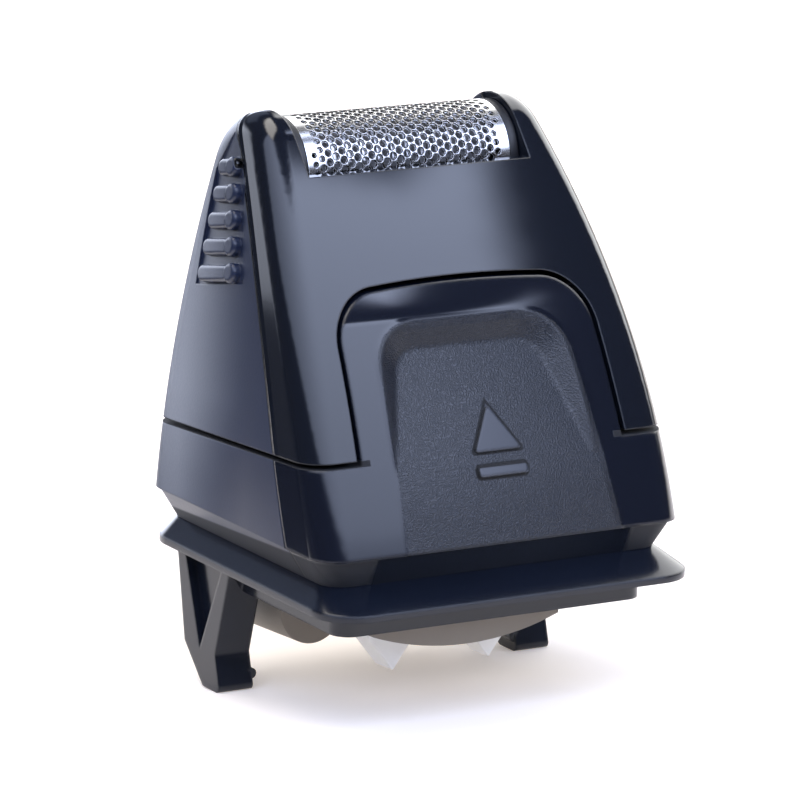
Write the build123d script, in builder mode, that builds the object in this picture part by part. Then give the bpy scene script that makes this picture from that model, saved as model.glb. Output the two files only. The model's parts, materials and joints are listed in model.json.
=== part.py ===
from build123d import *
import os
from math import asin, atan2, cos, degrees, radians, sin, sqrt, tan

# Foil shaver head that clips on a trimmer handle.
# Origin: centre of the flange's underside, where the head seats on the handle.
# +Z points up to the foil, the front with the thumb recess faces -Y, sizes are in millimetres.

# Outer form of the casing
foot_half_width = 18.7
ear_half_width = 14.0
front_reach = 15.9
foot_z = 5.4
parting_z = 13.4
parting_gap = 0.4
head_axis_y = 5.5
head_axis_z = 36.3
ear_radius = 5.45
front_lean = 38.0
rear_lean = 9.5
corner_radius = 2.6
wall = 1.5

# Foil window between the ears
window_half_length = 11.4
lip_z = 36.6
ear_floor_z = 31.0
pocket_depth = 5.2
pocket_clearance = 0.5

# Foil and its frame
foil_half_length = 10.4
foil_setback = 0.6
foil_thickness = 0.15
foil_flank = 2.9
foil_hole_diameter = 0.9
foil_hole_pitch = 1.75
foil_hole_rows = 9
foil_hole_row_step = 18.0
frame_seat_gap = 0.1
frame_rail_width = 0.6
frame_rail_height = 1.0
frame_end_gap = 0.05
foil_seat_gap = 0.03
clamp_thickness = 0.3
clamp_height = 1.2

# Grip ribs on the two sides
rib_count = 5
rib_spacing = 2.35
rib_width = 1.5
rib_height = 0.45
rib_root = 0.9
rib_first_z = 37.0
rib_rounding = 0.35
rib_bulb_radius = 0.9
rib_bulb_rise = 0.15
rib_first_length = 3.2
rib_length_step = 0.8
rib_front_offset = 1.7
rib_front_step = 0.3
rib_tilt = 8.5
panel_depth = 0.25
panel_margin = 0.9
panel_apex_rise = 3.2

# Arch tongue of the front panel
arch_half_width = 13.4
arch_top_half_width = 12.7
arch_root = 1.5
arch_top_z = 27.4
arch_crown = 0.7
arch_corner_radius = 4.6
arch_gap = 0.45
tongue_wall = 2.6
seam_setback = 6.4
seam_gap = 0.12

# Thumb recess and eject mark
pad_half_width_top = 9.6
pad_half_width_foot = 10.5
pad_top_z = 24.2
pad_foot_z = 12.0
pad_depth = 1.5
pad_wall_slope = 60.0
pad_corner_radius = 2.6
pad_floor_radius = 1.0
mark_width = 5.1
mark_bar_height = 1.1
mark_bar_gap = 1.15
mark_centre_z = 13.1
mark_offset_x = 0.53
mark_corner_radius = 0.3
mark_relief = 0.2

# Locating tabs that stand inside the cap's lower edge
tab_width = 5.0
tab_thickness = 1.2
tab_rise = 2.0
tab_clearance = 0.3

# Coupling frame, whose seat is tilted to the casing and rises to the rear
seat_tilt = 3.2
seat_z = 1.5
skirt_wall = 1.8
skirt_step = 0.3
neck_rise = 2.2
neck_inset = 1.6
neck_corner_radius = 2.2
flange_overhang = 0.2
flange_front = 18.2
flange_rear = 16.0
flange_tip = 0.6
flange_corner_radius = 4.0
rim_setback = 2.9
rim_front = 13.8
rim_rear = 14.4
rim_height = 2.5
rim_wall = 1.4
rim_corner_radius = 1.8
socket_gap = 0.5
socket_front = 12.2
socket_rear = 13.0
socket_corner_radius = 1.2

# Hooks
hook_setback = 1.3
hook_thickness = 3.5
hook_length = 12.1
hook_knee_z = 8.7
hook_root_front = 2.7
hook_root_rear = 12.4
hook_knee_front = 5.1
hook_knee_rear = 10.7
hook_foot_front = 4.1
hook_foot_rear = 7.2
hook_nose = 0.5
hook_nose_height = 1.4
hook_pocket_depth = 0.9
hook_rib = 1.6
hook_web = 0.6
hook_foot_radius = 0.5

# Chassis, rods and screws
chassis_setback = 7.3
chassis_front = 6.4
chassis_rear = 12.4
chassis_floor_z = 1.2
chassis_wall = 1.3
chassis_clearance = 0.3
deck_z = 12.0
deck_thickness = 1.2
lobe_inset = 3.1
lobe_radius = 3.2
lobe_z = -3.4
lobe_front = 4.0
belly_inset = 1.8
belly_front = 9.0
belly_rear = 5.3
belly_edge_z = -3.3
belly_bottom_z = -5.0
lug_thickness = 1.2
lug_radius = 1.9
rod_radius = 1.0
rod_half_spacing = 3.6
rod_z = 9.8
rod_clearance = 0.04
keeper_thickness = 0.6
keeper_margin = 0.5
screw_offset = 2.2
screw_front_y = -3.4
screw_rear_y = 9.4
screw_radius = 0.9
screw_head_radius = 1.5
screw_head_height = 1.1
screw_slot = 0.5
screw_clearance = 0.05
screw_tip_z = 2.8
boss_radius = 1.5

# Drive slide
slide_travel = 1.0
slide_half_length = 7.0
slide_bottom_z = 7.4
slide_top_z = 11.6
slide_rear = 10.9
prong_front = 4.6
prong_thickness = 3.0
prong_centre = 5.0
prong_half_width = 2.5
prong_point = 3.2
prong_tip_z = -7.7
post_half_length = 3.5
post_half_width = 2.0
beam_z = 25.2
beam_thickness = 1.8
beam_half_length = 8.0
guide_pin_x = 6.0
guide_pin_radius = 1.0
guide_pin_height = 5.4
motion_gap = 0.35
seal_thickness = 0.6
seal_width = 2.4

# Cutter
carrier_half_length = 9.3
carrier_half_width = 2.5
carrier_bottom_z = 30.3
carrier_crown_radius = 3.2
guide_pin_clearance = 0.05
float_travel = 0.7
blade_count = 13
blade_thickness = 0.3
blade_gap = 0.08
blade_seat_gap = 0.05
blade_half_angle = 78.0
spring_radius = 1.6
spring_wire = 0.35
spring_turns = 4

# Places worked out from the sizes above
ear_top_z = head_axis_z + ear_radius
front_tangent_y = head_axis_y - ear_radius * cos(radians(front_lean))
front_tangent_z = head_axis_z + ear_radius * sin(radians(front_lean))
rear_tangent_y = head_axis_y + ear_radius * cos(radians(rear_lean))
rear_tangent_z = head_axis_z + ear_radius * sin(radians(rear_lean))
rear_reach = rear_tangent_y + (rear_tangent_z - foot_z) * tan(radians(rear_lean))
foil_radius = ear_radius - foil_setback
foil_inner_radius = foil_radius - foil_thickness
floor_top_z = foot_z + wall
seat_lean = radians(seat_tilt)
foot_rise = (foot_z - seat_z) * cos(seat_lean) + front_reach * sin(seat_lean)
flange_half_width = foot_half_width + flange_overhang
rim_half_width = foot_half_width - rim_setback
hook_outer = foot_half_width - hook_setback
chassis_half_width = foot_half_width - chassis_setback
socket_half_width = chassis_half_width + socket_gap
lobe_x = chassis_half_width - lobe_inset
belly_half_width = chassis_half_width - belly_inset
screw_x = chassis_half_width + screw_offset
arch_foot_z = parting_z - arch_root
chassis_depth = chassis_front + chassis_rear
chassis_mid_y = (chassis_rear - chassis_front) / 2
screw_points = [(x, y) for x in (-screw_x, screw_x) for y in (screw_front_y, screw_rear_y)]
rod_points = [head_axis_y - rod_half_spacing, head_axis_y + rod_half_spacing]
reach = 60.0

# Front arc of the side profile, tangent to the ears at its top
arc_rise_y = -front_reach - front_tangent_y
arc_rise_z = foot_z - front_tangent_z
arc_inward = arc_rise_y * cos(radians(front_lean)) - arc_rise_z * sin(radians(front_lean))
front_arc_radius = (arc_rise_y**2 + arc_rise_z**2) / (2 * arc_inward)
front_arc_y = front_tangent_y + front_arc_radius * cos(radians(front_lean))
front_arc_z = front_tangent_z - front_arc_radius * sin(radians(front_lean))

# Side arc of the front profile, upright at the foot
side_rise = ear_top_z - foot_z
side_draw = foot_half_width - ear_half_width
side_arc_radius = (side_draw**2 + side_rise**2) / (2 * side_draw)


def front_y(z):
    """Y of the casing's front face at height z."""
    return front_arc_y - sqrt(front_arc_radius**2 - (z - front_arc_z) ** 2)


def side_x(z):
    """Half width of the casing at height z."""
    return foot_half_width - side_arc_radius + sqrt(side_arc_radius**2 - (z - foot_z) ** 2)


def casing_form(inset):
    """Solid of the whole casing, shrunk by inset on every side."""
    with BuildPart() as form:
        with BuildSketch(Plane.YZ):
            with BuildLine():
                TangentArc(
                    (front_tangent_y, front_tangent_z),
                    (-front_reach, foot_z),
                    tangent=(-sin(radians(front_lean)), -cos(radians(front_lean))),
                )
                Line((-front_reach, foot_z), (rear_reach, foot_z))
                Line((rear_reach, foot_z), (rear_tangent_y, rear_tangent_z))
                ThreePointArc(
                    (rear_tangent_y, rear_tangent_z),
                    (head_axis_y, ear_top_z),
                    (front_tangent_y, front_tangent_z),
                )
            make_face()
            if inset > 0:
                offset(amount=-inset, kind=Kind.INTERSECTION)
        extrude(amount=reach, both=True)
        with BuildSketch(Plane.XZ):
            with BuildLine():
                TangentArc((foot_half_width, foot_z), (ear_half_width, ear_top_z), tangent=(0, 1))
                Line((ear_half_width, ear_top_z), (-ear_half_width, ear_top_z))
                TangentArc((-foot_half_width, foot_z), (-ear_half_width, ear_top_z), tangent=(0, 1))
                Line((-foot_half_width, foot_z), (foot_half_width, foot_z))
            make_face()
            if inset > 0:
                offset(amount=-inset, kind=Kind.INTERSECTION)
        extrude(amount=reach, both=True, mode=Mode.INTERSECT)
        flanks = form.edges().filter_by(
            lambda edge: abs(edge.center().X) > ear_half_width / 2 and edge.center().Z > floor_top_z + wall
        )
        fillet(flanks, max(corner_radius - inset, wall / 2))
    return form.part


def arch_prism(grow):
    """Prism of the arch tongue's outline, grown all round, that cuts the front wall only."""
    with BuildPart() as prism:
        with BuildSketch(Plane.XZ) as outline:
            with BuildLine():
                Line((-arch_half_width, arch_foot_z), (arch_half_width, arch_foot_z))
                Line((arch_half_width, arch_foot_z), (arch_top_half_width, arch_top_z - arch_crown))
                ThreePointArc(
                    (arch_top_half_width, arch_top_z - arch_crown),
                    (0, arch_top_z),
                    (-arch_top_half_width, arch_top_z - arch_crown),
                )
                Line((-arch_top_half_width, arch_top_z - arch_crown), (-arch_half_width, arch_foot_z))
            make_face()
            fillet(outline.vertices().group_by(Axis.Y)[-1], arch_corner_radius)
            if grow > 0:
                offset(amount=grow)
        extrude(amount=reach)
    return prism.part


def plan_outline(half_width, front, rear, radius, mode=Mode.ADD):
    """Rounded rectangle in the open sketch, from -front to rear."""
    with Locations((0, (rear - front) / 2)):
        RectangleRounded(2 * half_width, front + rear, radius, mode=mode)


def foot_outline(inset, radius):
    """Rounded rectangle of the casing's foot in the open sketch, drawn in by inset."""
    plan_outline(foot_half_width - inset, front_reach - inset, rear_reach - inset, radius)


def rim_outline(inset, mode=Mode.ADD):
    """Rounded rectangle of the coupling rim in the open sketch, drawn in by inset."""
    plan_outline(rim_half_width - inset, rim_front - inset, rim_rear - inset, rim_corner_radius, mode)


def seat_plane(rise):
    """Plane parallel to the tilted seat, rise above it, with its origin on the Z axis."""
    return Plane(
        (0, 0, seat_z + rise / cos(seat_lean)),
        x_dir=(1, 0, 0),
        z_dir=(0, -sin(seat_lean), cos(seat_lean)),
    )


def grip_rib(length):
    """Rounded grip rib on XY, with a bulb at its front end."""
    with BuildPart() as rib:
        with BuildSketch():
            SlotOverall(length, rib_width)
        extrude(amount=rib_root + rib_height)
        fillet(rib.faces().sort_by(Axis.Z)[-1].edges(), rib_rounding)
        with BuildSketch():
            with Locations((rib_width / 2 - length / 2, 0)):
                Circle(rib_bulb_radius)
        extrude(amount=rib_root + rib_height + rib_bulb_rise)
        fillet(rib.faces().sort_by(Axis.Z)[-1].edges(), rib_rounding)
    return rib.part


def arch_band(outer, inner):
    """Foil-like arch in the open YZ sketch: half a ring on the head axis with straight flanks."""
    with Locations((head_axis_y, head_axis_z)):
        Circle(outer)
        Circle(inner, mode=Mode.SUBTRACT)
        Rectangle(2 * reach, reach, align=(Align.CENTER, Align.MAX), mode=Mode.SUBTRACT)
    for side in (-1, 1):
        with Locations((head_axis_y + side * (outer + inner) / 2, head_axis_z)):
            Rectangle(outer - inner, foil_flank, align=(Align.CENTER, Align.MAX))


outer_form = casing_form(0)
inner_form = casing_form(wall)
tongue_back = casing_form(tongue_wall)
tongue_form = arch_prism(0)
notch_form = arch_prism(arch_gap)

# Hollow of the cap: the casing's inside, with the ears left solid beside the window
with BuildPart() as cap_hollow:
    add(inner_form)
    for side in (-1, 1):
        with Locations((side * window_half_length, 0, ear_floor_z)):
            Box(
                reach,
                reach,
                reach,
                align=(Align.MIN if side > 0 else Align.MAX, Align.CENTER, Align.MIN),
                mode=Mode.SUBTRACT,
            )

# Foil cap: upper casing with ears, foil window, arch notch and grip ribs
with BuildPart() as foil_cap:
    add(outer_form)
    with BuildSketch(Plane.XY.offset(parting_z + parting_gap / 2)):
        Rectangle(reach, reach)
    extrude(amount=-reach, mode=Mode.SUBTRACT)
    add(cap_hollow.part, mode=Mode.SUBTRACT)
    add(notch_form, mode=Mode.SUBTRACT)
    with BuildSketch(Plane.XY.offset(lip_z)):
        Rectangle(2 * window_half_length, reach)
    extrude(amount=reach, mode=Mode.SUBTRACT)
    with BuildSketch(Plane.YZ):
        with Locations((head_axis_y, lip_z)):
            Rectangle(2 * (foil_radius + pocket_clearance), pocket_depth, align=(Align.CENTER, Align.MAX))
    extrude(amount=window_half_length, both=True, mode=Mode.SUBTRACT)
    rib_mid_z = rib_first_z - rib_spacing * (rib_count - 1) / 2
    for side in (-1, 1):
        lean = degrees(asin((rib_mid_z - foot_z) / side_arc_radius))
        normal = Vector(side * cos(radians(lean)), 0, sin(radians(lean)))
        rearward = Vector(0, cos(radians(rib_tilt)), -sin(radians(rib_tilt)))
        rib_plane = Plane((side * side_x(rib_mid_z), head_axis_y, rib_mid_z), x_dir=rearward, z_dir=normal)
        climb = side * (rib_count - 1) / 2 * rib_spacing
        foot_length = rib_first_length + (rib_count - 1) * rib_length_step
        foot_front = -rib_front_offset - (rib_count - 1) * rib_front_step
        with BuildSketch(rib_plane):
            with BuildLine():
                Polyline(
                    (-rib_front_offset - panel_margin, climb),
                    (0, climb + side * panel_apex_rise),
                    (rib_first_length - rib_front_offset + panel_margin, climb),
                    (foot_front + foot_length + panel_margin, -climb - side * panel_margin),
                    (foot_front - panel_margin, -climb - side * panel_margin),
                    close=True,
                )
            make_face()
        extrude(amount=-panel_depth, mode=Mode.SUBTRACT)
        for index in range(rib_count):
            length = rib_first_length + index * rib_length_step
            middle = length / 2 - rib_front_offset - index * rib_front_step
            rib_place = Pos(middle, climb - side * index * rib_spacing, -rib_root)
            add(rib_plane.location * rib_place * grip_rib(length))
foil_cap.part.label = "foil_cap"

# Thumb recess: wedge behind the front face, deepest at its top
pad_run_y = front_y(pad_top_z) + pad_depth - front_y(pad_foot_z)
pad_run_z = pad_top_z - pad_foot_z
pad_lean = degrees(atan2(pad_run_y, pad_run_z))
pad_floor = Plane(
    (0, front_y(pad_foot_z), pad_foot_z),
    x_dir=(1, 0, 0),
    z_dir=(0, -cos(radians(pad_lean)), sin(radians(pad_lean))),
)
pad_wall_run = pad_depth * tan(radians(pad_wall_slope))
pad_floor_height = pad_run_z / cos(radians(pad_lean)) - pad_wall_run
with BuildPart() as thumb_recess:
    with BuildSketch(pad_floor) as pad_outline:
        with BuildLine():
            Polyline(
                (-pad_half_width_foot, -wall),
                (pad_half_width_foot, -wall),
                (pad_half_width_top - pad_wall_run, pad_floor_height),
                (pad_wall_run - pad_half_width_top, pad_floor_height),
                close=True,
            )
        make_face()
        fillet(pad_outline.vertices().group_by(Axis.Y)[-1], pad_corner_radius)
    extrude(amount=2 * pad_depth, taper=-pad_wall_slope)
    fillet(thumb_recess.faces().filter_by(pad_floor).edges().sort_by(Axis.Z)[1:], pad_floor_radius)

# Front panel: gloss moulding with the arch tongue, the thumb recess and the eject mark
seam_line = [
    (front_y(foot_z) + seam_setback, foot_z),
    (front_y(parting_z) + seam_setback, parting_z),
]
with BuildPart() as front_panel:
    with BuildSketch(Plane.YZ):
        with BuildLine():
            Polyline(
                (-reach, foot_z),
                seam_line[0],
                (seam_line[1][0], parting_z - parting_gap / 2),
                (-reach, parting_z - parting_gap / 2),
                close=True,
            )
        make_face()
    extrude(amount=reach, both=True)
    add(tongue_form)
    add(outer_form, mode=Mode.INTERSECT)
    add(tongue_back, mode=Mode.SUBTRACT)
    add(thumb_recess.part, mode=Mode.SUBTRACT)
    with BuildSketch(Plane.XY.offset(foot_z)):
        plan_outline(socket_half_width, socket_front, socket_rear, socket_corner_radius)
    extrude(amount=tongue_wall, mode=Mode.SUBTRACT)
    with BuildSketch(seat_plane(foot_rise)):
        Rectangle(2 * reach, 2 * reach)
    extrude(amount=-reach, mode=Mode.SUBTRACT)
    mark_drop = (mark_centre_z - pad_foot_z) / cos(radians(pad_lean))
    with BuildSketch(pad_floor.offset(-mark_relief)) as mark:
        with Locations((mark_offset_x, mark_drop)):
            Triangle(a=mark_width, B=60, C=60, align=(Align.CENTER, Align.MIN))
        with Locations((mark_offset_x, mark_drop - mark_bar_gap)):
            Rectangle(mark_width, mark_bar_height, align=(Align.CENTER, Align.MAX))
        fillet(mark.vertices(), mark_corner_radius)
    extrude(amount=2 * mark_relief)
front_panel.part.label = "front_panel"

# Undercut skirt between the tilted foot edge and the neck
with BuildPart() as skirt:
    with BuildSketch(seat_plane(foot_rise)):
        foot_outline(skirt_step, corner_radius)
    with BuildSketch(seat_plane(neck_rise)):
        foot_outline(neck_inset, neck_corner_radius)
    loft(ruled=True)
    with BuildSketch(seat_plane(neck_rise)):
        foot_outline(neck_inset + skirt_wall, neck_corner_radius)
    extrude(amount=foot_rise - neck_rise, mode=Mode.SUBTRACT)

# Trim that ends the walls at the tilted foot edge and leaves the floor inside them
with BuildPart() as foot_trim:
    with BuildSketch(seat_plane(foot_rise)):
        Rectangle(2 * reach, 2 * reach)
    extrude(amount=-reach)
    with BuildSketch(Plane.XY.offset(foot_z)):
        foot_outline(neck_inset, neck_corner_radius)
    extrude(amount=reach, both=True, mode=Mode.SUBTRACT)

# Base shell: satin sides, rear and floor of the lower casing, with the undercut skirt
with BuildPart() as base_shell:
    add(outer_form)
    with BuildSketch(Plane.XY.offset(parting_z - parting_gap / 2)):
        Rectangle(reach * 2, reach * 2)
    extrude(amount=reach, mode=Mode.SUBTRACT)
    add(inner_form, mode=Mode.SUBTRACT)
    with BuildSketch(Plane.YZ):
        with BuildLine():
            Polyline(
                (-reach, foot_z),
                (seam_line[0][0] + seam_gap, foot_z),
                (seam_line[1][0] + seam_gap, parting_z),
                (-reach, parting_z),
                close=True,
            )
        make_face()
    extrude(amount=reach, both=True, mode=Mode.SUBTRACT)
    add(foot_trim.part, mode=Mode.SUBTRACT)
    add(skirt.part)
    with BuildSketch(Plane.XY.offset(foot_z)):
        with Locations((0, chassis_mid_y)):
            Rectangle(
                2 * (chassis_half_width + chassis_clearance),
                chassis_depth + 2 * chassis_clearance,
            )
    extrude(amount=wall, mode=Mode.SUBTRACT)
    with BuildSketch(Plane.XY.offset(foot_z)):
        with Locations(*screw_points):
            Circle(screw_radius + screw_clearance)
    extrude(amount=wall, mode=Mode.SUBTRACT)
    tab_face = side_x(parting_z + tab_rise) - wall - tab_clearance
    for side in (-1, 1):
        with Locations((side * (tab_face - tab_thickness / 2), head_axis_y, floor_top_z)):
            Box(
                tab_thickness,
                tab_width,
                parting_z + tab_rise - floor_top_z,
                align=(Align.CENTER, Align.CENTER, Align.MIN),
            )
        with Locations((side * (side_x(parting_z) - wall), head_axis_y, floor_top_z)):
            Box(
                wall,
                tab_width,
                parting_z - parting_gap / 2 - floor_top_z,
                align=(Align.CENTER, Align.CENTER, Align.MIN),
            )
base_shell.part.label = "base_shell"

# Coupling frame: flared flange, rim and two hooks in one moulding
with BuildPart() as coupling_frame:
    with BuildSketch(seat_plane(neck_rise)):
        foot_outline(neck_inset, neck_corner_radius)
    with BuildSketch(seat_plane(flange_tip)):
        plan_outline(flange_half_width, flange_front, flange_rear, flange_corner_radius)
    loft(ruled=True)
    with BuildSketch(seat_plane(flange_tip)):
        plan_outline(flange_half_width, flange_front, flange_rear, flange_corner_radius)
    extrude(amount=-flange_tip)
    with BuildSketch(seat_plane(0)):
        rim_outline(0)
        rim_outline(rim_wall, Mode.SUBTRACT)
    extrude(amount=-rim_height)
    with BuildSketch():
        plan_outline(socket_half_width, socket_front, socket_rear, socket_corner_radius)
    extrude(amount=foot_z, both=True, mode=Mode.SUBTRACT)
    with BuildSketch(Plane.XY.offset(screw_tip_z)):
        with Locations(*screw_points):
            Circle(boss_radius)
    extrude(amount=foot_z - screw_tip_z)
    with BuildSketch(Plane.XY.offset(screw_tip_z)):
        with Locations(*screw_points):
            Circle(screw_radius)
    extrude(amount=foot_z - screw_tip_z, mode=Mode.SUBTRACT)
    for side in (-1, 1):
        hook_plane = Plane((side * hook_outer, 0, seat_z), x_dir=seat_plane(0).y_dir, z_dir=(1, 0, 0))
        with BuildSketch(hook_plane) as hook_side:
            with BuildLine():
                Polyline(
                    (hook_root_front, flange_tip),
                    (hook_root_rear, flange_tip),
                    (hook_root_rear, 0),
                    (hook_knee_rear, -hook_knee_z),
                    (hook_foot_rear, -hook_length),
                    (hook_foot_front, -hook_length),
                    (hook_knee_front, -hook_knee_z),
                    (hook_root_front, 0),
                    close=True,
                )
            make_face()
            fillet(hook_side.vertices().group_by(Axis.Y)[0], hook_foot_radius)
        extrude(amount=-side * hook_thickness)
        with BuildSketch(hook_plane):
            with BuildLine():
                Polyline(
                    (hook_root_front + hook_rib, -hook_web),
                    (hook_root_rear - hook_rib, -hook_web),
                    ((hook_knee_front + hook_knee_rear) / 2, -hook_knee_z),
                    close=True,
                )
            make_face()
        extrude(amount=-side * hook_pocket_depth, mode=Mode.SUBTRACT)
        nose_plane = Plane(hook_plane.location * Pos(hook_foot_rear, 0, -side * hook_thickness))
        with BuildSketch(Plane(nose_plane.origin, x_dir=(1, 0, 0), z_dir=-nose_plane.x_dir)):
            with Locations((0, hook_nose_height - hook_length)):
                Circle(hook_nose)
        extrude(amount=hook_foot_rear - hook_foot_front - hook_foot_radius)
coupling_frame.part.label = "coupling_frame"

# Chassis: pale open-topped housing with screw lugs, rod bores and a rounded belly and lobes below
with BuildPart() as chassis:
    with BuildSketch(Plane.XY.offset(chassis_floor_z)):
        with Locations((0, chassis_mid_y)):
            Rectangle(2 * chassis_half_width, chassis_depth)
    extrude(amount=deck_z - chassis_floor_z)
    with BuildSketch(Plane.XY.offset(floor_top_z)):
        for x, y in screw_points:
            with Locations((x, y)):
                Circle(lug_radius)
            with Locations((x / 2, y)):
                Rectangle(abs(x), 2 * lug_radius)
    extrude(amount=lug_thickness)
    with BuildSketch(Plane.XZ.offset(-lobe_front)):
        with Locations((-lobe_x, lobe_z), (lobe_x, lobe_z)):
            Circle(lobe_radius)
            Rectangle(2 * lobe_radius, chassis_floor_z - lobe_z, align=(Align.CENTER, Align.MIN))
    extrude(amount=lobe_front - chassis_rear)
    with BuildSketch(Plane.XZ.offset(belly_front)):
        with BuildLine():
            Polyline(
                (-belly_half_width, belly_edge_z),
                (-belly_half_width, chassis_floor_z + chassis_wall),
                (belly_half_width, chassis_floor_z + chassis_wall),
                (belly_half_width, belly_edge_z),
            )
            ThreePointArc(
                (belly_half_width, belly_edge_z),
                (0, belly_bottom_z),
                (-belly_half_width, belly_edge_z),
            )
        make_face()
    extrude(amount=belly_rear - belly_front)
    with BuildSketch(Plane.XY.offset(chassis_floor_z + chassis_wall)):
        with Locations((0, chassis_mid_y)):
            Rectangle(
                2 * (chassis_half_width - chassis_wall),
                chassis_depth - 2 * chassis_wall,
            )
    extrude(amount=deck_z, mode=Mode.SUBTRACT)
    prong_reach = prong_centre + prong_half_width + slide_travel + motion_gap
    with BuildSketch(Plane.XY.offset(chassis_floor_z)):
        with Locations((0, -prong_front + prong_thickness / 2)):
            Rectangle(2 * prong_reach, prong_thickness + 2 * motion_gap)
    extrude(amount=chassis_wall, mode=Mode.SUBTRACT)
    with BuildSketch(Plane.YZ):
        with Locations(*[(y, rod_z) for y in rod_points]):
            Circle(rod_radius)
    extrude(amount=chassis_half_width, both=True, mode=Mode.SUBTRACT)
    with BuildSketch(Plane.XY.offset(floor_top_z)):
        with Locations(*screw_points):
            Circle(screw_radius + screw_clearance)
    extrude(amount=lug_thickness, mode=Mode.SUBTRACT)
chassis.part.label = "chassis"

# Guide rods and the keepers that close their bores
guide_rods = []
for name, y in zip(("front", "rear"), rod_points):
    with BuildPart() as guide_rod:
        with BuildSketch(Plane.YZ):
            with Locations((y, rod_z)):
                Circle(rod_radius)
        extrude(amount=chassis_half_width, both=True)
    guide_rod.part.label = f"guide_rod_{name}"
    guide_rods.append(guide_rod)

rod_keepers = []
for name, side in (("left", -1), ("right", 1)):
    with BuildPart() as rod_keeper:
        with BuildSketch(Plane.YZ.offset(side * chassis_half_width)):
            with Locations((head_axis_y, rod_z)):
                SlotCenterToCenter(2 * rod_half_spacing, 2 * (rod_radius + keeper_margin))
        extrude(amount=side * keeper_thickness)
    rod_keeper.part.label = f"rod_keeper_{name}"
    rod_keepers.append(rod_keeper)

# Chassis screws: slotted pan heads, one group
with BuildPart() as chassis_screws:
    with BuildSketch(Plane.XY.offset(floor_top_z + lug_thickness)):
        with Locations(*screw_points):
            Circle(screw_head_radius)
    extrude(amount=screw_head_height)
    fillet(chassis_screws.edges().group_by(Axis.Z)[-1], screw_head_height / 3)
    with BuildSketch(Plane.XY.offset(screw_tip_z)):
        with Locations(*screw_points):
            Circle(screw_radius)
    extrude(amount=floor_top_z + lug_thickness - screw_tip_z)
    with BuildSketch(Plane.XY.offset(floor_top_z + lug_thickness + screw_head_height)):
        with Locations(*screw_points):
            Rectangle(2 * screw_head_radius, screw_slot)
    extrude(amount=-screw_head_height / 2, mode=Mode.SUBTRACT)
chassis_screws.part.label = "chassis_screws"

# Deck plate over the drive, and the seal round the drive post
slot_half_length = post_half_length + slide_travel + motion_gap
slot_half_width = post_half_width + motion_gap
with BuildPart() as deck_plate:
    add(casing_form(tongue_wall + motion_gap))
    with BuildSketch(Plane.XY.offset(deck_z)):
        Rectangle(2 * reach, 2 * reach)
    extrude(amount=-reach, mode=Mode.SUBTRACT)
    with BuildSketch(Plane.XY.offset(deck_z + deck_thickness)):
        Rectangle(2 * reach, 2 * reach)
    extrude(amount=reach, mode=Mode.SUBTRACT)
    with BuildSketch(Plane.XY.offset(deck_z)):
        with Locations((0, head_axis_y)):
            Rectangle(2 * slot_half_length, 2 * slot_half_width)
        for side in (-1, 1):
            with Locations((side * (tab_face - tab_thickness - motion_gap), head_axis_y)):
                Rectangle(
                    reach,
                    tab_width + 2 * motion_gap,
                    align=(Align.MIN if side > 0 else Align.MAX, Align.CENTER),
                )
    extrude(amount=deck_thickness, mode=Mode.SUBTRACT)
deck_plate.part.label = "deck_plate"

with BuildPart() as hair_seal:
    with BuildSketch(Plane.XY.offset(deck_z + deck_thickness)):
        with Locations((0, head_axis_y)):
            RectangleRounded(
                2 * (slot_half_length + seal_width),
                2 * (slot_half_width + seal_width),
                seal_width / 2,
            )
            Rectangle(2 * slot_half_length, 2 * slot_half_width, mode=Mode.SUBTRACT)
    extrude(amount=seal_thickness)
hair_seal.part.label = "hair_seal"

# Drive slide: carriage on the rods, pointed prongs below, post and beam with guide pins above
with BuildPart() as drive_slider:
    with BuildSketch(Plane.XY.offset(slide_bottom_z)):
        with Locations((0, (slide_rear - prong_front) / 2)):
            Rectangle(2 * slide_half_length, slide_rear + prong_front)
    extrude(amount=slide_top_z - slide_bottom_z)
    with BuildSketch(Plane.XZ.offset(prong_front)):
        for side in (-1, 1):
            with BuildLine():
                Polyline(
                    (side * (prong_centre - prong_half_width), slide_bottom_z),
                    (side * (prong_centre + prong_half_width), slide_bottom_z),
                    (side * (prong_centre + prong_half_width), prong_tip_z + prong_point),
                    (side * prong_centre, prong_tip_z),
                    (side * (prong_centre - prong_half_width), prong_tip_z + prong_point),
                    close=True,
                )
            make_face()
    extrude(amount=-prong_thickness)
    with BuildSketch(Plane.XY.offset(slide_top_z)):
        with Locations((0, head_axis_y)):
            Rectangle(2 * post_half_length, 2 * post_half_width)
    extrude(amount=beam_z - slide_top_z)
    with BuildSketch(Plane.XY.offset(beam_z)):
        with Locations((0, head_axis_y)):
            Rectangle(2 * beam_half_length, 2 * post_half_width)
    extrude(amount=beam_thickness)
    with BuildSketch(Plane.XY.offset(beam_z + beam_thickness)):
        with Locations((-guide_pin_x, head_axis_y), (guide_pin_x, head_axis_y)):
            Circle(guide_pin_radius)
    extrude(amount=guide_pin_height)
    with BuildSketch(Plane.YZ):
        with Locations(*[(y, rod_z) for y in rod_points]):
            Circle(rod_radius + rod_clearance)
    extrude(amount=slide_half_length, both=True, mode=Mode.SUBTRACT)
drive_slider.part.label = "drive_slider"

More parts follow.
